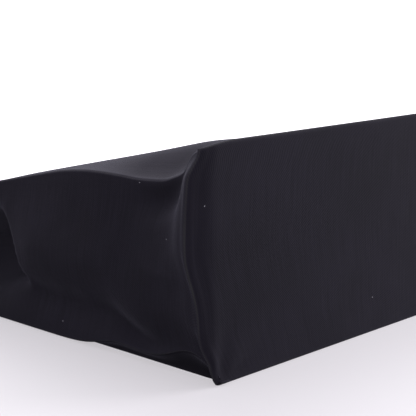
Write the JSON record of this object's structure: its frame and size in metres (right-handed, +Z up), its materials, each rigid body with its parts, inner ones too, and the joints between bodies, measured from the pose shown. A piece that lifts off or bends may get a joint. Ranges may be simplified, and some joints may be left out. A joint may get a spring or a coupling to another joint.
{
  "type": "canvas tote bag",
  "caption": "Black cotton twill tote bag with a boxed base and strap handles, lying on its back panel.",
  "frame": {"origin": "centre of the back panel's outer face, which lies on the table", "axes": "+X across the bag to its right side seen from the base, +Y from the base to the mouth, +Z up through the bag's depth"},
  "size_m": [0.42, 0.6665, 0.1199],
  "materials": {
    "canvas": "black cotton twill, matte with a faint sheen at grazing angles",
    "strap": "folded black cotton twill strap",
    "binding": "black cotton binding tape",
    "board": "black fibre-filled board, matte",
    "thread": "black spun polyester thread"
  },
  "bodies": {
    "bag_body": {"back_panel": "canvas", "base_panel": "canvas", "left_gusset": "canvas", "right_gusset": "canvas", "left_gusset_hem": "canvas", "right_gusset_hem": "canvas", "back_facing": "canvas", "base_board": "board", "left_base_binding": "binding", "right_base_binding": "binding", "left_back_binding": "binding", "right_back_binding": "binding", "back_strap_ends": "strap", "back_strap_stitches": "thread"},
    "front_side": {"front_panel": "canvas", "front_facing": "canvas", "front_strap_ends": "strap", "front_strap_stitches": "thread"},
    "front_loop": {"front_handle": "strap"},
    "back_loop": {"back_handle": "strap"}
  },
  "joints": [
    {"name": "mouth_opening", "type": "hinge", "parent": "bag_body", "child": "front_side", "pos_m": [0, -0.1996, 0.1196], "axis": [1, 0, 0], "range_deg": [-2, 12]},
    {"name": "front_handle_swing", "type": "hinge", "parent": "front_side", "child": "front_loop", "pos_m": [0, 0.19154, 0.02893], "axis": [1, 0, 0], "range_deg": [-100, 0]},
    {"name": "back_handle_swing", "type": "hinge", "parent": "bag_body", "child": "back_loop", "pos_m": [0, 0.2015, 0.0028], "axis": [1, 0, 0], "range_deg": [0, 60]}
  ]
}
